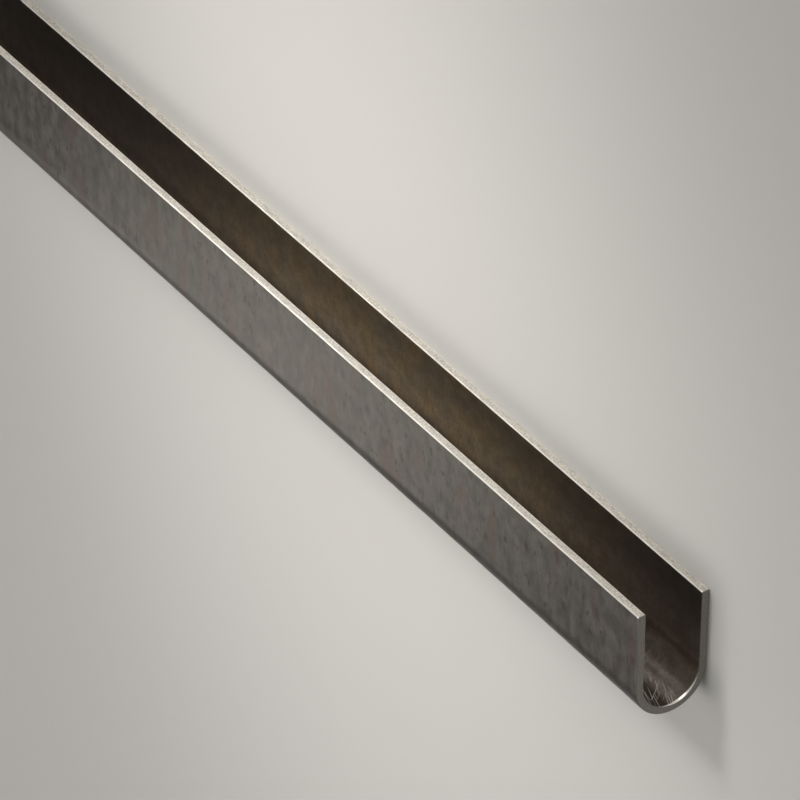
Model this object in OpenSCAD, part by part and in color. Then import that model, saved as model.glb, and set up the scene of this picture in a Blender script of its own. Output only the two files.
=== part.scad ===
// Steel U-channel: one strip of sheet bent round a half-round bottom into two straight legs.
// The bar lies along X on the outer face of one leg, with its open side towards -Y and Z up.
// The origin is the middle of the box that the bar fills, on the face that it lies on.

/* [Bar] */
// Length of the bar, as sold: 12 in
bar_length = 304.8; // [152.4:0.1:6096]

/* [Section] */
// Thickness of the sheet, 14 gauge
sheet_t = 1.9; // [1.2:0.05:4]
// Clear width between the two legs
clear_width = 14.2; // [8:0.1:40]
// Depth of the section, from the back of the bend to the tips of the legs
depth = 28.2; // [15:0.1:80]

/* [Edges] */
// Radius on the sheared edges along the tips of the legs
tip_radius = 0.25; // [0.2:0.05:0.45]
// Width of the edge break filed round each sawn end
end_break = 0.1; // [0.05:0.01:0.14]

/* [Hidden] */
$fn = 96;

// Worked out from the driving sizes
inner_radius = clear_width / 2;
outer_radius = inner_radius + sheet_t;
outer_width = 2 * outer_radius;
leg_length = depth - outer_radius;

// How far a cutter reaches past the faces that it cuts
mouth_overcut = 1;
break_overcut = 0.05;

steel_grey = [0.43, 0.42, 0.40];

// Round for one corner at the origin of a plate that lies in +X and +Y
module corner_round() {
    difference() {
        translate([-mouth_overcut, -mouth_overcut])
            square(tip_radius + mouth_overcut);
        translate([tip_radius, tip_radius])
            circle(r = tip_radius);
    }
}

// The section, with the axis of the bend at the origin and the tips of the legs at -X
module section() {
    difference() {
        union() {
            circle(r = outer_radius);
            translate([-leg_length, -outer_radius])
                square([leg_length, outer_width]);
        }
        circle(r = inner_radius);
        translate([-leg_length - mouth_overcut, -inner_radius])
            square([leg_length + mouth_overcut, clear_width]);
        for (side = [0, 1])
            mirror([0, side])
                translate([-leg_length, inner_radius]) {
                    corner_round();
                    translate([0, sheet_t])
                        mirror([0, 1])
                            corner_round();
                }
    }
}

// What the file takes off an end: outward from the face is X, along the bar is Y, the edge is the origin
module break_profile() {
    reach = end_break + break_overcut;
    polygon([
        [break_overcut, -reach],
        [break_overcut, break_overcut],
        [-reach, break_overcut]
    ]);
}

// Edge break along +X from the origin, on a face that looks towards +Y
module straight_break(length) {
    rotate([90, 0, 90])
        linear_extrude(height = length)
            break_profile();
}

// Edge break round a curved face, over an angle that starts at +X; the face looks out or in
module curved_break(radius, angle, looks_in = false) {
    rotate_extrude(angle = angle)
        translate([radius, 0])
            mirror([looks_in ? 1 : 0, 0])
                break_profile();
}

// Edge break round the tip of one leg and along both of its faces
module leg_break() {
    flat_leg = leg_length - tip_radius;
    flat_tip = sheet_t - 2 * tip_radius;
    translate([-flat_leg, outer_radius])
        straight_break(flat_leg);
    translate([0, inner_radius])
        rotate(180)
            straight_break(flat_leg);
    translate([-leg_length, inner_radius + tip_radius])
        rotate(90)
            straight_break(flat_tip);
    translate([-flat_leg, outer_radius - tip_radius])
        rotate(90)
            curved_break(tip_radius, 90);
    translate([-flat_leg, inner_radius + tip_radius])
        rotate(180)
            curved_break(tip_radius, 90);
}

// Edge break round the whole outline of one end
module end_edge_break() {
    rotate(-90) {
        curved_break(outer_radius, 180);
        curved_break(inner_radius, 180, looks_in = true);
    }
    for (side = [0, 1])
        mirror([0, side])
            leg_break();
}

// The bar: the section carried along X, with both ends filed
module u_channel() {
    color(steel_grey)
        translate([0, depth / 2 - outer_radius, outer_radius])
            rotate([90, 0, 90])
                difference() {
                    linear_extrude(height = bar_length, center = true)
                        section();
                    for (end = [0, 1])
                        mirror([0, 0, end])
                            translate([0, 0, bar_length / 2])
                                end_edge_break();
                }
}

u_channel();
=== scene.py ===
# %% [markdown]
# A length of steel U-channel
#
# The object is one strip of bare steel sheet, bent round a half-round bottom into two straight legs.
# It has no other piece, so everything here is about one good surface and how light falls on it.
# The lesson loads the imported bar, measures it, looks at it as the photo does, and then makes a finer
# skin for it with numpy and gives every side of that skin its own finish.

# %% Load the frame
import math

import bpy
import numpy as np
from mathutils import Matrix
from mathutils import Vector


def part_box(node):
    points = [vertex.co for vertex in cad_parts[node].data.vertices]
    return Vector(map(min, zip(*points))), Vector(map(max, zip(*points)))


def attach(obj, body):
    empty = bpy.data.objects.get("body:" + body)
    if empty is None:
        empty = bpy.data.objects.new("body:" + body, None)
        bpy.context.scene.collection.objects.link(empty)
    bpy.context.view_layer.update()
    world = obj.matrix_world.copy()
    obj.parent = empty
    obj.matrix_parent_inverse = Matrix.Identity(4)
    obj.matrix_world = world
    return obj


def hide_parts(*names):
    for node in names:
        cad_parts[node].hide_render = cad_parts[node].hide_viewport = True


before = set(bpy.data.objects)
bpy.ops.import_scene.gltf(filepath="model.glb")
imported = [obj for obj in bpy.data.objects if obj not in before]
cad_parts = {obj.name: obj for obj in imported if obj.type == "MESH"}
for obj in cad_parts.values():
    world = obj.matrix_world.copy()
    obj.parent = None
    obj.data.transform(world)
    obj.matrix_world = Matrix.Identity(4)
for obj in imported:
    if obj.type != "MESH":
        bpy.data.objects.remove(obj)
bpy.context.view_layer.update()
print("nodes in the frame:", sorted(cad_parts))

# %% [markdown]
# Measure the bar
#
# The bar lies along X on the outer face of one leg, with its open side towards -Y.
# Its box gives the length, the width over the legs and the depth. The origin is in the middle of the
# box, so the depth is twice the distance to the tips, which is exact where the faceted bend is not.
# The sheet's thickness isn't in the box, but a ray shot down through the upper leg meets both of its
# faces. Measuring is better than typing the numbers again: the skin then follows the frame.

# %% Read the section's sizes
NODE = "u_channel"
low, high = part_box(NODE)
LENGTH = high.x - low.x
WIDTH = high.z - low.z
DEPTH = -2 * low.y


def leg_thickness(node):
    """Distance between the two faces that a ray meets as it goes down through the upper leg."""
    down = Vector((0, 0, -1))
    step_in = down * (WIDTH / 100)
    start = Vector((0, low.y / 2, high.z + WIDTH))
    top = node.ray_cast(start, down)[1]
    under = node.ray_cast(top + step_in, down)[1]
    return (top - under).length


SHEET = leg_thickness(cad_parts[NODE])
OUTER_RADIUS = WIDTH / 2
MIDDLE_RADIUS = OUTER_RADIUS - SHEET / 2
BEND_Y = DEPTH / 2 - OUTER_RADIUS
LEG = DEPTH - OUTER_RADIUS
print(f"length {LENGTH:.4f}, width {WIDTH:.4f}, depth {DEPTH:.4f}, sheet {SHEET:.5f} m")

# %% [markdown]
# Look at it as the photo does
#
# A long lens flattens the picture, so the four edges of the bar run almost parallel. The camera stands
# above the open side, near one sawn end, and it is rolled over, because the bar lies on its side here
# while the picture shows its open side upwards. Azimuth, elevation and roll give the three axes of the
# camera. The place then follows from one point that is easy to find in the picture: the outer corner
# of the near leg's tip at the sawn end.

# %% Make the camera
VIEW_AZIMUTH = math.radians(-49.55)
VIEW_ELEVATION = math.radians(26.86)
VIEW_ROLL = math.radians(-110.64)
VIEW_DISTANCE = 1.2778
FOCAL_PIXELS = 6239
FRAME_PIXELS = 800
SENSOR_MM = 36
CORNER_PIXEL = (638.5, 618.0)


def camera_axes(azimuth, elevation, roll):
    """Right, up and back of a camera that is level at an azimuth and an elevation and is then turned
    on its sight line."""
    flat = math.cos(elevation)
    back = Vector((math.sin(azimuth) * flat, -math.cos(azimuth) * flat, math.sin(elevation)))
    level_right = Vector((math.cos(azimuth), math.sin(azimuth), 0))
    level_up = back.cross(level_right)
    right = level_right * math.cos(roll) + level_up * math.sin(roll)
    return right, back.cross(right), back


right, up, back = camera_axes(VIEW_AZIMUTH, VIEW_ELEVATION, VIEW_ROLL)
metres_per_pixel = VIEW_DISTANCE / FOCAL_PIXELS
corner = Vector((low.x, low.y, high.z))
aside = (CORNER_PIXEL[0] - FRAME_PIXELS / 2) * metres_per_pixel
below = (CORNER_PIXEL[1] - FRAME_PIXELS / 2) * metres_per_pixel

camera_data = bpy.data.cameras.new("camera")
camera_data.sensor_width = SENSOR_MM
camera_data.lens = SENSOR_MM * FOCAL_PIXELS / FRAME_PIXELS
camera = bpy.data.objects.new("camera", camera_data)
camera_place = corner + back * VIEW_DISTANCE - right * aside + up * below
camera_turn = Matrix((right, up, back)).transposed().to_4x4()
camera.matrix_world = Matrix.Translation(camera_place) @ camera_turn
bpy.context.scene.collection.objects.link(camera)
bpy.context.scene.camera = camera
print(f"camera at {tuple(round(x, 3) for x in camera.location)}, lens {camera_data.lens:.0f} mm")

# %% [markdown]
# A pale floor
#
# The floor is one plain square, large enough to fill every view. Bare steel mirrors what lies around it,
# so the floor's colour counts twice: as the background, and as what the lower sides of the bar show.
# A dull pale grey is light enough for the one and calm enough for the other.

# %% Set the floor
FLOOR_SIZE = 30
FLOOR_GREY = (0.54, 0.54, 0.535, 1)
FLOOR_ROUGHNESS = 0.9
FLOOR_GLOSS = 0.2
FLOOR_GAP = 0.00002

scene = bpy.context.scene
scene.view_settings.view_transform = "Standard"


def floor_finish():
    """A dull material of one pale colour."""
    material = bpy.data.materials.new("pale_floor")
    material.use_nodes = True
    shader = material.node_tree.nodes["Principled BSDF"]
    shader.inputs["Base Color"].default_value = FLOOR_GREY
    shader.inputs["Roughness"].default_value = FLOOR_ROUGHNESS
    shader.inputs["Specular IOR Level"].default_value = FLOOR_GLOSS
    return material


def make_floor():
    """One square in the plane that the bar lies on, a hair lower so that the two never share a plane."""
    half = FLOOR_SIZE / 2
    outline = ((-half, -half), (half, -half), (half, half), (-half, half))
    corners = [(x, y, -FLOOR_GAP) for x, y in outline]
    square = bpy.data.meshes.new("floor")
    square.from_pydata(corners, [], [(0, 1, 2, 3)])
    square.materials.append(floor_finish())
    floor = bpy.data.objects.new("floor", square)
    scene.collection.objects.link(floor)
    return floor


floor = make_floor()
print("floor", tuple(round(x, 2) for x in floor.dimensions))

# %% [markdown]
# Soft light, placed by what the steel mirrors
#
# Steel shows what stands around it, so each light is placed by the side of the bar that it is for. A large
# panel overhead gives the floor and every upper side their level. On the open side a narrow beam lights the
# tips and the inside, most in the middle of the bar. A weak lower one shines past the upper leg's tip onto
# the bend: the leg's shadow ends there, and the bend is light just above that line. A weak higher one is
# mirrored in the rounded edges of the tips and draws a thin white line along them. Another stands where
# the upper leg's outer face mirrors the camera, so that this face too falls off from its middle to its
# ends. The last two stand before the near end, for the filed edge and for the sawn face.

# %% Set the lights
WORLD_COLOUR = (1.0, 0.99, 0.96, 1)
WORLD_STRENGTH = 0.11
WARM_WHITE = (1.0, 0.96, 0.9)
WIDE = math.radians(180)
NARROW = math.radians(30)

world = bpy.data.worlds.new("studio")
world.use_nodes = True
world.node_tree.nodes["Background"].inputs["Color"].default_value = WORLD_COLOUR
world.node_tree.nodes["Background"].inputs["Strength"].default_value = WORLD_STRENGTH
scene.world = world


def soft_panel(name, target, direction, away, size, watts, spread=WIDE):
    """A square light that stands so far away from its target, in a direction, and faces it."""
    data = bpy.data.lights.new(name, "AREA")
    data.size = size
    data.energy = watts
    data.color = WARM_WHITE
    data.spread = spread
    light = bpy.data.objects.new(name, data)
    towards = Vector(direction).normalized()
    light.location = Vector(target) + towards * away
    light.rotation_mode = "QUATERNION"
    light.rotation_quaternion = towards.to_track_quat("Z", "Y")
    light.visible_camera = False
    scene.collection.objects.link(light)
    return light


BRIGHT_SPOT = (-0.02, 0, WIDTH / 2)
NEAR_END = (low.x, 0, WIDTH / 2)
# Name, target, direction from it, metres away, size in metres, watts, spread
lights = [
    soft_panel("top_light", BRIGHT_SPOT, (0.1, 0.2, 1.0), 1.6, 1.0, 13),
    soft_panel("open_side_light", BRIGHT_SPOT, (0.15, -0.78, 0.60), 0.7, 0.2, 0.185, NARROW),
    soft_panel("bend_light", BRIGHT_SPOT, (0.66, -0.68, 0.31), 0.7, 0.04, 0.012, NARROW),
    soft_panel("tip_edge_light", BRIGHT_SPOT, (0.68, -0.23, 0.70), 0.7, 0.04, 0.008, NARROW),
    soft_panel("face_light", BRIGHT_SPOT, (0.68, 0.58, 0.45), 0.45, 0.12, 0.095),
    soft_panel("filed_edge_light", NEAR_END, (-0.70, -0.69, 0.2), 0.6, 0.22, 0.8),
    soft_panel("sawn_face_light", NEAR_END, (-0.92, 0.30, 0.26), 0.6, 0.22, 0.6),
]
for light in lights:
    print(light.name, tuple(round(x, 2) for x in light.location), light.data.energy, "W")

# %% [markdown]
# The section as a bent sheet
#
# A bent sheet is easiest to describe by its middle line: straight along one leg, round half a circle
# and straight back along the other leg. Every point of the section then has two numbers, how far along
# the middle line it is and how far across the sheet. A grid in those two numbers fills the section, its
# rim is the outline that is carried along the bar, and the grid itself closes the sawn ends.

# %% Describe the section
TIP_RADIUS = 0.00025
QUARTER_BEND = math.pi / 2 * MIDDLE_RADIUS
MIDDLE_LENGTH = LEG + QUARTER_BEND
CORNER_STEPS = 7
LEG_STEPS = 8
BEND_STEPS = 56
ACROSS_STEPS = 6
SUPPORT = 0.00012


def middle_line(along):
    """Middle line of the sheet at a signed distance from the bottom of the bend, positive up the upper
    leg. Within a quarter turn the point goes round the bend's axis; past it the point runs straight on
    towards -Y. Returns y, z and the unit normal that points out of the bend."""
    angle = np.clip(along / MIDDLE_RADIUS, -math.pi / 2, math.pi / 2)
    straight = np.maximum(np.abs(along) - QUARTER_BEND, 0)
    y = BEND_Y + MIDDLE_RADIUS * np.cos(angle) - straight
    z = WIDTH / 2 + MIDDLE_RADIUS * np.sin(angle)
    return y, z, np.cos(angle), np.sin(angle)


def section_rows(inset):
    """Rows of the section from the upper tip to the lower one, with the whole outline moved in by inset.
    Row by row: the place on the middle line, and half the sheet's thickness there. Near a tip the half
    thickness follows the quarter circle of the tip's rounded edges."""
    radius = TIP_RADIUS - inset
    corner = np.linspace(0, math.pi / 2, CORNER_STEPS + 1)
    corner_along = MIDDLE_LENGTH - inset - radius * (1 - np.cos(corner))
    corner_half = SHEET / 2 - inset - radius * (1 - np.sin(corner))
    flat_start = MIDDLE_LENGTH - TIP_RADIUS - SUPPORT
    leg = np.linspace(flat_start, QUARTER_BEND + SUPPORT, LEG_STEPS + 1)
    bend = np.linspace(QUARTER_BEND, 0, BEND_STEPS // 2 + 1)
    upper = np.concatenate([corner_along, leg, bend])
    upper_half = np.concatenate([corner_half, np.full(len(leg) + len(bend), SHEET / 2 - inset)])
    along = np.concatenate([upper, -upper[-2::-1]])
    return along, np.concatenate([upper_half, upper_half[-2::-1]])


def section_grid(inset):
    """The section as a grid of y, z points: rows along the sheet, columns across it, outer face first."""
    along, half = section_rows(inset)
    y, z, normal_y, normal_z = middle_line(along)
    across = np.linspace(1, -1, ACROSS_STEPS + 1) * half[:, None]
    grid_y = y[:, None] + across * normal_y[:, None]
    grid_z = z[:, None] + across * normal_z[:, None]
    return np.stack([grid_y, grid_z], 2)


ROWS, COLUMNS = section_grid(0).shape[:2]
rim_row = np.concatenate([
    np.arange(ROWS),
    np.full(COLUMNS - 1, ROWS - 1),
    np.arange(ROWS - 2, -1, -1),
    np.zeros(COLUMNS - 2, int),
])
rim_column = np.concatenate([
    np.zeros(ROWS, int),
    np.arange(1, COLUMNS),
    np.full(ROWS - 1, COLUMNS - 1),
    np.arange(COLUMNS - 2, 0, -1),
])
RIM = len(rim_row)
print(f"section: {ROWS} rows, {COLUMNS} columns, {RIM} points round the rim")

# %% [markdown]
# The filed edge of a sawn end
#
# A saw leaves a sharp edge, and a few strokes with a file break it. On the straight legs the break is
# hardly there. A round file took more off the inside of the bend, on the side of the lower leg, and
# that shows as a bright crescent. So the break has a width of its own at every point round the rim.

# %% Work out the width of the break
END_BREAK = 0.0001
CRESCENT = 0.00032
CRESCENT_ANGLE = math.radians(-24)
CRESCENT_HALF_ANGLE = math.radians(48)


def break_widths():
    """Width of the break round the rim: the same everywhere, plus one smooth wave on the inside of the
    bend. The wave is half a cosine plus a half, over an angle to both sides of its middle."""
    angle = section_rows(0)[0][rim_row] / MIDDLE_RADIUS
    from_middle = np.clip((angle - CRESCENT_ANGLE) / CRESCENT_HALF_ANGLE, -1, 1)
    inside = rim_column == COLUMNS - 1
    return END_BREAK + inside * CRESCENT * (0.5 + 0.5 * np.cos(math.pi * from_middle))


widths = break_widths()
plain_rim = section_grid(0)[rim_row, rim_column]
inward = (section_grid(END_BREAK)[rim_row, rim_column] - plain_rim) / END_BREAK
print(f"break from {1000 * widths.min():.2f} to {1000 * widths.max():.2f} mm wide")

# %% [markdown]
# Carry the rim along the bar
#
# A swept surface is a grid: stations along the bar one way, points round the rim the other way. Over the
# last stations at both ends the rim moves in, and the break is there. The section's own grid closes each
# end, and it shares the rim's points, so the skin is watertight.

# %% Build the skin's points
STATION_STEP = 0.0015
BREAK_STEPS = 4


def swept_rim():
    """Points of the skin's sides, by station and point of the rim.
    In a break the point goes straight over the edge: a share of the width is how far it has moved in, and
    the rest of the width is how far it still is from the sawn face."""
    share = np.linspace(0, 1, BREAK_STEPS + 1)
    moved_in = np.outer(share, widths)
    from_end = np.outer(1 - share, widths)
    start = low.x + widths.max() + SUPPORT
    middle = np.linspace(start, -start, round(-2 * start / STATION_STEP) + 1)
    x = np.concatenate([low.x + from_end[::-1], np.repeat(middle[:, None], RIM, 1), high.x - from_end])
    inset = np.concatenate([moved_in[::-1], np.zeros((len(middle), RIM)), moved_in])
    return np.concatenate([x[:, :, None], plain_rim + inset[:, :, None] * inward], 2)


def cap_inside():
    """Points inside one sawn end: each row runs straight from the rim's outer point to its inner one."""
    grid = np.empty((ROWS, COLUMNS, 2))
    grid[rim_row, rim_column] = side_points[0, :, 1:]
    share = np.linspace(0, 1, COLUMNS)[1:-1, None]
    return (grid[1:-1, :1] + share * (grid[1:-1, -1:] - grid[1:-1, :1])).reshape(-1, 2)


side_points = swept_rim()
STATIONS = len(side_points)
cap_points = cap_inside()
caps = [np.insert(cap_points, 0, x, axis=1) for x in (low.x, high.x)]
points = np.concatenate([side_points.reshape(-1, 3), *caps])
print(f"{STATIONS} stations, {len(points)} points")

# %% [markdown]
# Join the points into faces
#
# The points are numbered station by station, so the corners of a quad follow from the numbers of its
# station and of its point on the rim. Every quad is turned so that it faces outwards, because light and
# the finishes both go by that side.

# %% Make the faces


def side_faces():
    """Quads between neighbours on the rim and neighbouring stations, turned so that they face outwards."""
    station, k = np.meshgrid(np.arange(STATIONS - 1), np.arange(RIM), indexing="ij")
    a = station * RIM + k
    b = station * RIM + (k + 1) % RIM
    return np.stack([a, a + RIM, b + RIM, b], 2).reshape(-1, 4)


def cap_faces(end):
    """Quads of the section's grid over one sawn end: rim points come from the last station there."""
    number = np.empty((ROWS, COLUMNS), int)
    first_side = end * (STATIONS - 1) * RIM
    first_cap = STATIONS * RIM + end * len(cap_points)
    number[1:-1, 1:-1] = first_cap + np.arange(len(cap_points)).reshape(ROWS - 2, COLUMNS - 2)
    number[rim_row, rim_column] = first_side + np.arange(RIM)
    a, b, c, d = number[:-1, :-1], number[1:, :-1], number[1:, 1:], number[:-1, 1:]
    corners = (a, b, c, d) if end == 0 else (a, d, c, b)
    return np.stack(corners, 2).reshape(-1, 4)


side_quads = side_faces()
faces = np.concatenate([side_quads, cap_faces(0), cap_faces(1)])
skin = bpy.data.meshes.new("steel_channel")
skin.from_pydata(points, [], faces)
print(f"{len(faces)} quads, {2 * len(faces)} triangles")

# %% [markdown]
# Sort the skin by the tool that made it
#
# The sheet's two faces, its sheared tips, their worn edges, the filed end edges and the sawn ends were
# each made in a different way, so each gets a finish of its own. A face's side follows from its place in
# the grid.

# %% Sort the faces by side
OUTER, INNER, TIP, EDGE, FILED, SAWN = range(6)


def face_sides():
    """Side of every face, in the order in which the faces were made."""
    next_row, next_column = np.roll(rim_row, -1), np.roll(rim_column, -1)
    at_tip = np.minimum(rim_row, next_row) < CORNER_STEPS
    at_tip |= np.maximum(rim_row, next_row) > ROWS - 1 - CORNER_STEPS
    flat = np.where(rim_column + next_column == 0, OUTER, INNER)
    side = np.where(at_tip, np.where(rim_row == next_row, TIP, EDGE), flat)
    by_station = np.tile(side, (STATIONS - 1, 1))
    by_station[:BREAK_STEPS] = FILED
    by_station[-BREAK_STEPS:] = FILED
    return np.concatenate([by_station.ravel(), np.full(len(faces) - len(side_quads), SAWN)])


sides = face_sides()
skin.polygons.foreach_set("material_index", sides.astype(np.int32))
skin.polygons.foreach_set("use_smooth", sides != SAWN)
print("outer, inner, tip, edge, filed and sawn faces:", np.bincount(sides))

# %% [markdown]
# A map in metres
#
# Rolling, shearing and rubbing leave marks that follow the sheet round its bend. So the skin gets a map
# whose first number runs along the bar and whose second number runs round the section, both in metres.
# A sawn face is flat, so there the map is simply y and z.

# %% Lay the map on the skin
closed_rim = np.concatenate([plain_rim, plain_rim[:1]])
round_rim = np.concatenate([[0], np.cumsum(np.linalg.norm(np.diff(closed_rim, axis=0), axis=1))])
INNER_BOTTOM = round_rim[np.argmax((rim_row == ROWS // 2) & (rim_column == COLUMNS - 1))]


def side_map():
    """For every corner of the side faces: metres along the bar, and metres round the rim from its
    start."""
    k = side_quads % RIM
    around = round_rim[k]
    around[:, 2:] = round_rim[k[:, :1] + 1]
    return np.stack([points[side_quads][:, :, 0], around], 2)


cap_map = points[faces[len(side_quads):]][:, :, 1:]
sheet_map = skin.uv_layers.new(name="sheet_map")
sheet_map.uv.foreach_set("vector", np.concatenate([side_map(), cap_map]).astype(np.float32).ravel())
print(f"once round the rim is {1000 * round_rim[-1]:.1f} mm")
print(f"the bottom of the bend inside is at {1000 * INNER_BOTTOM:.1f} mm")

# %% [markdown]
# Places on the map
#
# A finish here is a Principled shader fed by noise. The first tools start such a shader and tell it where
# on the steel it is: the map's two numbers, and how far away a place along or round the bar is.

# %% Define the tools for places


def start_finish(name, metallic):
    """A material with a Principled shader, added to the skin."""
    material = bpy.data.materials.new(name)
    material.use_nodes = True
    shader = material.node_tree.nodes["Principled BSDF"]
    shader.inputs["Metallic"].default_value = metallic
    skin.materials.append(material)
    return material.node_tree, shader


def map_place(tree):
    """The map's two numbers at each point."""
    node = tree.nodes.new("ShaderNodeUVMap")
    node.uv_map = "sheet_map"
    return node.outputs["UV"]


def distance(tree, value, place):
    """How far a value is from a place, to either side."""
    offset = tree.nodes.new("ShaderNodeMath")
    offset.operation = "SUBTRACT"
    offset.inputs[1].default_value = place
    size = tree.nodes.new("ShaderNodeMath")
    size.operation = "ABSOLUTE"
    tree.links.new(value, offset.inputs[0])
    tree.links.new(offset.outputs["Value"], size.inputs[0])
    return size.outputs["Value"]


def map_distance(tree, axis, place):
    """Distance in metres from a place on one of the map's two axes."""
    axes = tree.nodes.new("ShaderNodeSeparateXYZ")
    tree.links.new(map_place(tree), axes.inputs["Vector"])
    return distance(tree, axes.outputs[axis], place)


# %% [markdown]
# Noise and masks
#
# Noise that is drawn out in one direction becomes a streak or a scratch, and noise that is cut off at a
# high level becomes specks. The tools below take sizes in metres, so that a number in a finish is a size
# on the steel. Noise seldom leaves the middle of its range, so the limits that it is cut at lie there.

# %% Define the tools for noise
WIDE_LIMITS = (0.25, 0.75)
MIDDLE_LIMITS = (0.3, 0.7)
HUE_LIMITS = (0.35, 0.65)


def patches(tree, along, around, detail, start, turn=0.0):
    """Noise from 0 to 1 in patches with a size along the bar and a size round the section, at an angle."""
    mapping = tree.nodes.new("ShaderNodeMapping")
    mapping.vector_type = "TEXTURE"
    mapping.inputs["Location"].default_value = (start, start, 0)
    mapping.inputs["Rotation"].default_value = (0, 0, turn)
    mapping.inputs["Scale"].default_value = (along, around, 1)
    noise = tree.nodes.new("ShaderNodeTexNoise")
    noise.noise_dimensions = "2D"
    noise.inputs["Scale"].default_value = 1
    noise.inputs["Detail"].default_value = detail
    tree.links.new(map_place(tree), mapping.inputs["Vector"])
    tree.links.new(mapping.outputs["Vector"], noise.inputs["Vector"])
    return noise.outputs["Fac"]


def between(tree, value, start, end, at_start=0.0, at_end=1.0):
    """Maps a value's range from start to end onto another range, smoothly and with no overshoot."""
    ranged = tree.nodes.new("ShaderNodeMapRange")
    ranged.interpolation_type = "SMOOTHSTEP"
    ranged.inputs["From Min"].default_value = start
    ranged.inputs["From Max"].default_value = end
    ranged.inputs["To Min"].default_value = at_start
    ranged.inputs["To Max"].default_value = at_end
    tree.links.new(value, ranged.inputs["Value"])
    return ranged.outputs["Result"]


def combine(tree, operation, first, second):
    """The product or the maximum of two values."""
    maths = tree.nodes.new("ShaderNodeMath")
    maths.operation = operation
    tree.links.new(first, maths.inputs[0])
    tree.links.new(second, maths.inputs[1])
    return maths.outputs["Value"]


# %% [markdown]
# Colours and the shader
#
# A finish is built up like paint: one colour is mixed over another by a mask, the result is made lighter
# and darker by noise, and at the end it goes to the shader together with a roughness and a fine bump.

# %% Define the tools for colours
MIX_FIRST, MIX_SECOND, MIX_RESULT = 6, 7, 2


def tint(tree, factor, first, second):
    """Mixes two colours by a factor. Each colour is three numbers or the result of another mix."""
    mix = tree.nodes.new("ShaderNodeMix")
    mix.data_type = "RGBA"
    tree.links.new(factor, mix.inputs["Factor"])
    for socket, colour in ((mix.inputs[MIX_FIRST], first), (mix.inputs[MIX_SECOND], second)):
        if isinstance(colour, tuple):
            socket.default_value = (*colour, 1)
        else:
            tree.links.new(colour, socket)
    return mix.outputs[MIX_RESULT]


def shade(tree, colour, value):
    """Multiplies a colour by a value near 1."""
    scaled = tree.nodes.new("ShaderNodeVectorMath")
    scaled.operation = "SCALE"
    tree.links.new(colour, scaled.inputs["Vector"])
    tree.links.new(value, scaled.inputs["Scale"])
    return scaled.outputs["Vector"]


def vary(tree, colour, noise, least, most, limits=WIDE_LIMITS):
    """Multiplies a colour by a factor that follows noise, from the least to the most."""
    return shade(tree, colour, between(tree, noise, *limits, least, most))


def end_finish(tree, shader, colour, roughness, height, depth):
    """Sends colour, roughness and a bump to the shader; the bump's depth in metres is for a height of 1."""
    bump = tree.nodes.new("ShaderNodeBump")
    bump.inputs["Distance"].default_value = depth
    tree.links.new(height, bump.inputs["Height"])
    tree.links.new(bump.outputs["Normal"], shader.inputs["Normal"])
    tree.links.new(colour, shader.inputs["Base Color"])
    tree.links.new(roughness, shader.inputs["Roughness"])


# %% [markdown]
# The outer face: bare rolled steel
#
# The outside of the sheet is grey, dull and a little uneven. Fine rub marks run up and down the legs,
# dark specks and small brown pits sit in the surface in loose groups, and here and there a faint
# red-brown bloom has started.

# %% Finish the outer face
OUTER_GREEN = (0.132, 0.127, 0.115)
OUTER_PINK = (0.148, 0.138, 0.126)
BLOOM = (0.150, 0.112, 0.095)
BLOOM_OPACITY = 0.6
SPECK = (0.040, 0.034, 0.030)
SPECK_OPACITY = 0.5
PIT_BROWN = (0.062, 0.046, 0.036)
PIT_OPACITY = 0.45
OUTSIDE_GROUPS = 0.3
OUTER_METALLIC = 0.9
OUTER_ROUGHNESS = (0.38, 0.43)
OUTER_BUMP = 0.000004


def outer_finish():
    """Greenish and pinkish grey patches with mottling, rub marks and a bloom. Specks and small brown pits
    are strong in their groups and weak outside them."""
    tree, shader = start_finish("rolled_outer_face", OUTER_METALLIC)
    mottle = patches(tree, along=0.0026, around=0.0042, detail=5, start=1)
    rub_marks = patches(tree, along=0.0005, around=0.004, detail=4, start=2)
    hue_noise = patches(tree, along=0.005, around=0.012, detail=4, start=5)
    colour = tint(tree, between(tree, hue_noise, *HUE_LIMITS), OUTER_GREEN, OUTER_PINK)
    colour = vary(tree, colour, mottle, 0.82, 1.18)
    colour = vary(tree, colour, rub_marks, 0.94, 1.06)
    bloom_noise = patches(tree, along=0.007, around=0.022, detail=4, start=7)
    bloom = between(tree, bloom_noise, 0.54, 0.72, at_end=BLOOM_OPACITY)
    colour = tint(tree, bloom, colour, BLOOM)
    group_noise = patches(tree, along=0.03, around=0.02, detail=1, start=4)
    group = between(tree, group_noise, 0.35, 0.6, at_start=OUTSIDE_GROUPS)
    speck_noise = patches(tree, along=0.0015, around=0.0027, detail=3, start=3)
    speck = between(tree, speck_noise, 0.64, 0.74, at_end=SPECK_OPACITY)
    colour = tint(tree, combine(tree, "MULTIPLY", speck, group), colour, SPECK)
    pit_noise = patches(tree, along=0.0030, around=0.0052, detail=3, start=13)
    pit = between(tree, pit_noise, 0.63, 0.74, at_end=PIT_OPACITY)
    colour = tint(tree, combine(tree, "MULTIPLY", pit, group), colour, PIT_BROWN)
    roughness = between(tree, mottle, *WIDE_LIMITS, *OUTER_ROUGHNESS)
    end_finish(tree, shader, colour, roughness, rub_marks, OUTER_BUMP)


outer_finish()
print("finish:", skin.materials[OUTER].name)
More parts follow.
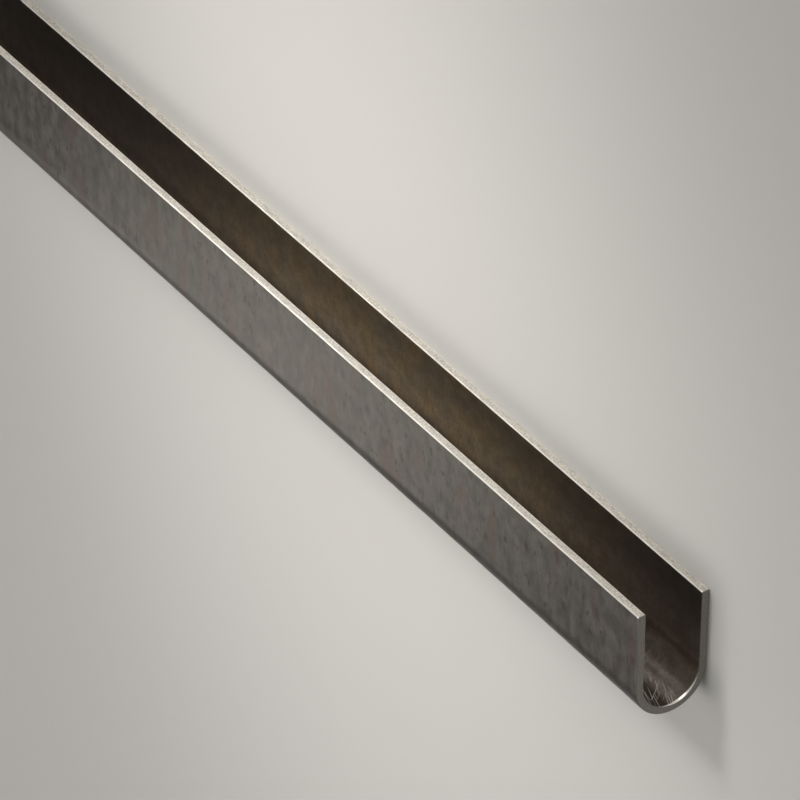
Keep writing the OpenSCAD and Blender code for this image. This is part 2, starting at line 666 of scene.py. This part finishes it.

# %% [markdown]
# The inner face: where it is dark, brown or bare
#
# No tool reached the inside of the legs, so they kept a thin brown skin. Its colour is painted darker
# towards both ends of the bar and along each leg towards its tip, and lighter in the bend: painted shade
# and light, for where less or more light reaches. The bend was rubbed grey by the tool that formed it, with
# a brown strip on the lower leg's side and a dark crease where each leg starts; the grey and the brown are
# light enough to also paint the light that falls in the bend. Each of these is a mask, which follows from
# the distance to a place on the map.

# %% Mark the places on the inner face
INNER_RADIUS = OUTER_RADIUS - SHEET
LEG_START = math.pi / 2 * INNER_RADIUS
TIP_PLACE = LEG_START + LEG
# Painted light and shade along the legs: the colour is scaled up in the bend and down at the tips.
PAINTED_LIGHT_AT_BEND = 1.5
PAINTED_SHADE_AT_TIP = 0.60
BRIGHTEST_PLACE = -0.035
BRIGHTEST_HALF_LENGTH = 0.014
SHADED_HALF_LENGTH = 0.115
CREASE_HALF_WIDTH = 0.0016
CREASE_DARK_HALF_WIDTH = CREASE_HALF_WIDTH / 8


def painted_shade_at_ends(tree):
    """A mask of painted shade: 0 on the middle of the bar, where it is lit best, rising to 1 towards both
    ends.
    """
    return between(tree, map_distance(tree, "X", BRIGHTEST_PLACE), BRIGHTEST_HALF_LENGTH, SHADED_HALF_LENGTH)


def near_line(tree, place, half_width):
    """A mask for a strip along the bar: 1 in the middle half of its width, and 0 from its borders on."""
    return between(tree, map_distance(tree, "Y", place), half_width, half_width / 2)


def bend_crease(tree):
    """A mask that is 1 on the two lines where the bend goes over into the legs."""
    off_line = distance(tree, map_distance(tree, "Y", INNER_BOTTOM), LEG_START)
    return between(tree, off_line, CREASE_HALF_WIDTH, CREASE_DARK_HALF_WIDTH)


def painted_shade_along_legs(tree):
    """Painted light and shade: a factor that falls along each leg, from lighter in the bend to darker at
    the tip.
    """
    from_bottom = map_distance(tree, "Y", INNER_BOTTOM)
    return between(tree, from_bottom, LEG_START, TIP_PLACE, PAINTED_LIGHT_AT_BEND, PAINTED_SHADE_AT_TIP)


print(f"inside, the bend is {2000 * LEG_START:.1f} mm round")

# %% [markdown]
# Scratches in the bend
#
# Close to the sawn ends a file slipped along the bottom of the bend and left thin bright scratches. Noise
# in patches 50 mm long and a third of a millimetre wide is a set of straight lines, and a shorter noise
# breaks them into strokes. Several angles together look like several slips.

# %% Scratch the bend
SCRATCH_ANGLES = (-0.33, -0.42, -0.25, -0.37, -0.29, -0.85)
SCRATCHED_LENGTH = 0.014
SCRATCHED_HALF_WIDTH = 0.006
SCRATCHED_PLACE = INNER_BOTTOM + 0.002
LINE_SIZE = (0.05, 0.00034)
STROKE_SIZE = (0.006, 0.0008)
FIRST_LINE = 11
FIRST_STROKE = 21


def near_end(tree, length):
    """A mask that is 1 close to the sawn ends and fades to 0 at a length from each."""
    from_middle = map_distance(tree, "X", 0)
    return between(tree, from_middle, LENGTH / 2 - length, LENGTH / 2 - length / 4)


def scratches(tree):
    """Thin straight lines at several angles, each broken into short strokes."""
    lines = None
    for index, angle in enumerate(SCRATCH_ANGLES):
        long_noise = patches(tree, *LINE_SIZE, detail=0, start=FIRST_LINE + index, turn=angle)
        short_noise = patches(tree, *STROKE_SIZE, detail=0, start=FIRST_STROKE + index, turn=angle)
        line = between(tree, long_noise, 0.67, 0.73)
        stroke = between(tree, short_noise, 0.46, 0.56)
        strokes = combine(tree, "MULTIPLY", line, stroke)
        lines = strokes if lines is None else combine(tree, "MAXIMUM", lines, strokes)
    near_bottom = near_line(tree, SCRATCHED_PLACE, SCRATCHED_HALF_WIDTH)
    there = combine(tree, "MULTIPLY", near_end(tree, SCRATCHED_LENGTH), near_bottom)
    return combine(tree, "MULTIPLY", lines, there)


print(f"scratches at {len(SCRATCH_ANGLES)} angles, {1000 * SCRATCHED_LENGTH:.0f} mm from each end")

# %% [markdown]
# The inner face: brown scale
#
# The brown skin itself is an uneven mix of a browner and a greyer colour, with fine streaks, clouds and
# grit. It is dull and hardly a metal. Where the bend is rubbed and where it is scratched the bare steel
# shows, so there the shader becomes more of a metal, and smoother.

# %% Finish the inner face
INNER_BROWN = (0.172, 0.126, 0.076)
INNER_GREY = (0.146, 0.119, 0.086)
# Painted shade: the dark colour of the inside towards both ends of the bar.
ENDS_PAINTED_SHADE = (0.052, 0.041, 0.033)
# Partly painted light: a lighter brown for the bend on the lower leg's side.
BEND_BROWN_AND_LIGHT = (0.170, 0.125, 0.095)
# The rubbed bare grey of the bend, light enough to also paint light that falls there.
RUBBED_GREY_AND_LIGHT = (0.360, 0.314, 0.272)
SCALE_DARK = (0.060, 0.046, 0.034)
SCRATCH = (0.90, 0.87, 0.82)
RUBBED_ANGLE = math.radians(-34)
RUBBED_PLACE = INNER_BOTTOM + RUBBED_ANGLE * INNER_RADIUS
RUBBED_HALF_WIDTH = 0.0055
BROWN_PLACE = INNER_BOTTOM - 0.7 * LEG_START
BROWN_HALF_WIDTH = 0.6 * LEG_START
CREASE_OPACITY = 0.65
BLOT_OPACITY = 0.25
SCALE_METALLIC, BARE_METALLIC = 0.35, 0.6
SCALE_ROUGHNESS, BARE_ROUGHNESS = 0.55, 0.33
INNER_BUMP = 0.000005


def inner_finish():
    """Brown patches with painted shade that darkens them towards the ends and the tips, a grey and brown
    bend that also paints light, streaks along the section, and scratches.
    """
    tree, shader = start_finish("brown_inner_face", SCALE_METALLIC)
    streak = patches(tree, along=0.0012, around=0.004, detail=5, start=5)
    cloud = patches(tree, along=0.004, around=0.003, detail=6, start=3)
    grit = patches(tree, along=0.0006, around=0.0008, detail=3, start=14)
    hue_noise = patches(tree, along=0.010, around=0.010, detail=6, start=2)
    colour = tint(tree, between(tree, hue_noise, *HUE_LIMITS), INNER_GREY, INNER_BROWN)
    # Painted shade: the inside darkens towards both ends of the bar.
    colour = tint(tree, painted_shade_at_ends(tree), colour, ENDS_PAINTED_SHADE)
    # Painted light and shade: lighter in the bend, darker along each leg towards its tip.
    colour = shade(tree, colour, painted_shade_along_legs(tree))
    # Partly painted light: a lighter brown over the bend on the lower leg's side, where light falls in the
    # bend.
    colour = tint(tree, near_line(tree, BROWN_PLACE, BROWN_HALF_WIDTH), colour, BEND_BROWN_AND_LIGHT)
    # The rubbed bare grey of the bend; its light colour also paints light that falls in the bend.
    rubbed = near_line(tree, RUBBED_PLACE, RUBBED_HALF_WIDTH)
    colour = tint(tree, rubbed, colour, RUBBED_GREY_AND_LIGHT)
    crease = between(tree, bend_crease(tree), 0, 1, at_end=CREASE_OPACITY)
    colour = tint(tree, crease, colour, SCALE_DARK)
    colour = vary(tree, colour, streak, 0.92, 1.08)
    colour = vary(tree, colour, cloud, 0.84, 1.16)
    colour = vary(tree, colour, grit, 0.88, 1.12)
    blot_noise = patches(tree, along=0.0014, around=0.004, detail=3, start=9)
    blot = between(tree, blot_noise, 0.58, 0.78, at_end=BLOT_OPACITY)
    colour = tint(tree, blot, colour, SCALE_DARK)
    scratched = scratches(tree)
    colour = tint(tree, scratched, colour, SCRATCH)
    bare = combine(tree, "MAXIMUM", rubbed, scratched)
    metallic = between(tree, bare, 0, 1, SCALE_METALLIC, BARE_METALLIC)
    tree.links.new(metallic, shader.inputs["Metallic"])
    roughness = between(tree, bare, 0, 1, SCALE_ROUGHNESS, BARE_ROUGHNESS)
    end_finish(tree, shader, colour, roughness, streak, INNER_BUMP)


inner_finish()
print("finish:", skin.materials[INNER].name)

# %% [markdown]
# The tips: sheared edges
#
# The strip was slit from a wide sheet, so the tips of the legs are bright bare metal. The blade drew it
# out along the tip and left fine slanting marks across it, from one face of the sheet to the other.
# Handling has rubbed the rounded edges of the tips bright. The lights on the open side show on them as a
# thin white line along the whole bar, and the edges' near-white colour also paints part of that line.

# %% Finish the tips
SHEARED = (0.78, 0.745, 0.68)
SHEARED_GREY = (0.66, 0.64, 0.595)
# Worn bare metal, and partly painted highlight of the white line along the edges.
WORN_BRIGHT_AND_HIGHLIGHT = (0.95, 0.92, 0.87)
TIP_METALLIC = 0.6
SHEARED_ROUGHNESS = (0.42, 0.52)
SHEARED_BUMP = 0.000008
WORN_ROUGHNESS = (0.31, 0.34)
WORN_BUMP = 0.000001
MARK_SLANT = 0.3
LINE_SLANT = 0.04


def tip_finish():
    """Bright steel with lines along the tip, fine slanting marks across it, and slightly greyer
    stretches."""
    tree, shader = start_finish("sheared_tip", TIP_METALLIC)
    marks = patches(tree, along=0.00028, around=0.0008, detail=3, start=8, turn=MARK_SLANT)
    lines = patches(tree, along=0.004, around=0.00025, detail=3, start=12, turn=LINE_SLANT)
    grey_noise = patches(tree, along=0.004, around=0.0012, detail=4, start=6)
    grey = between(tree, grey_noise, 0.4, 0.7)
    colour = tint(tree, grey, SHEARED, SHEARED_GREY)
    colour = vary(tree, colour, marks, 0.74, 1.16)
    colour = vary(tree, colour, lines, 0.90, 1.06)
    roughness = between(tree, grey, 0, 1, *SHEARED_ROUGHNESS)
    end_finish(tree, shader, colour, roughness, marks, SHEARED_BUMP)


def edge_finish():
    """Very bright steel with slightly duller stretches; the near-white colour is partly painted highlight.
    """
    tree, shader = start_finish("worn_tip_edge_and_highlight", TIP_METALLIC)
    worn = patches(tree, along=0.012, around=0.002, detail=3, start=10)
    # Near-white worn metal, partly painted highlight of the white line.
    colour = tint(tree, between(tree, worn, 0.4, 0.8), WORN_BRIGHT_AND_HIGHLIGHT, SHEARED)
    roughness = between(tree, worn, *MIDDLE_LIMITS, *WORN_ROUGHNESS)
    end_finish(tree, shader, colour, roughness, worn, WORN_BUMP)


tip_finish()
edge_finish()
print("finishes:", skin.materials[TIP].name, "and", skin.materials[EDGE].name)

# %% [markdown]
# The ends: filed edges and a sawn face
#
# The saw left a dull grey face with a fine even tooth. The file left bare metal on the edges, brightest in
# the crescent inside the bend, where it took the most. The crescent's near-white colour also paints part of
# the highlight that shows there.

# %% Finish the ends
CRESCENT_PLACE = INNER_BOTTOM + CRESCENT_ANGLE * INNER_RADIUS
CRESCENT_BRIGHT_HALF_WIDTH = 0.0065
FILED_GREY = (0.20, 0.19, 0.175)
# Bare filed metal, and partly painted highlight in the crescent.
FILED_BRIGHT_AND_HIGHLIGHT = (0.95, 0.93, 0.89)
FILED_METALLIC = 0.9
FILED_ROUGHNESS = (0.32, 0.38)
FILED_BUMP = 0.000004
SAWN_DARK = (0.165, 0.155, 0.139)
SAWN_LIGHT = (0.235, 0.222, 0.202)
SAWN_METALLIC = 0.6
SAWN_ROUGHNESS = (0.5, 0.6)
SAWN_BUMP = 0.000008


def filed_finish():
    """Grey steel that turns bright towards the middle of the crescent, with fine file lines; the bright
    colour there is partly painted highlight.
    """
    tree, shader = start_finish("filed_edge", FILED_METALLIC)
    bright = near_line(tree, CRESCENT_PLACE, CRESCENT_BRIGHT_HALF_WIDTH)
    lines = patches(tree, along=0.0003, around=0.0003, detail=2, start=1)
    # Near-white in the crescent: bare filed metal, and partly painted highlight.
    colour = tint(tree, bright, FILED_GREY, FILED_BRIGHT_AND_HIGHLIGHT)
    colour = vary(tree, colour, lines, 0.85, 1.1, MIDDLE_LIMITS)
    roughness = between(tree, lines, *MIDDLE_LIMITS, *FILED_ROUGHNESS)
    end_finish(tree, shader, colour, roughness, lines, FILED_BUMP)


def sawn_finish():
    """Dull grey with a fine tooth."""
    tree, shader = start_finish("sawn_end", SAWN_METALLIC)
    tooth = patches(tree, along=0.0005, around=0.0004, detail=4, start=2)
    colour = tint(tree, between(tree, tooth, *MIDDLE_LIMITS), SAWN_DARK, SAWN_LIGHT)
    roughness = between(tree, tooth, *MIDDLE_LIMITS, *SAWN_ROUGHNESS)
    end_finish(tree, shader, colour, roughness, tooth, SAWN_BUMP)


filed_finish()
sawn_finish()
print("finishes:", [material.name for material in skin.materials])

# %% [markdown]
# Put the bar in its place
#
# The skin stands at the origin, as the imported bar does, and takes its place in the frame.

# %% Make the bar
bar = bpy.data.objects.new("steel_channel", skin)
scene.collection.objects.link(bar)
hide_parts(NODE)
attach(bar, "root")
print("bar", tuple(round(1000 * x, 2) for x in bar.dimensions), "mm")
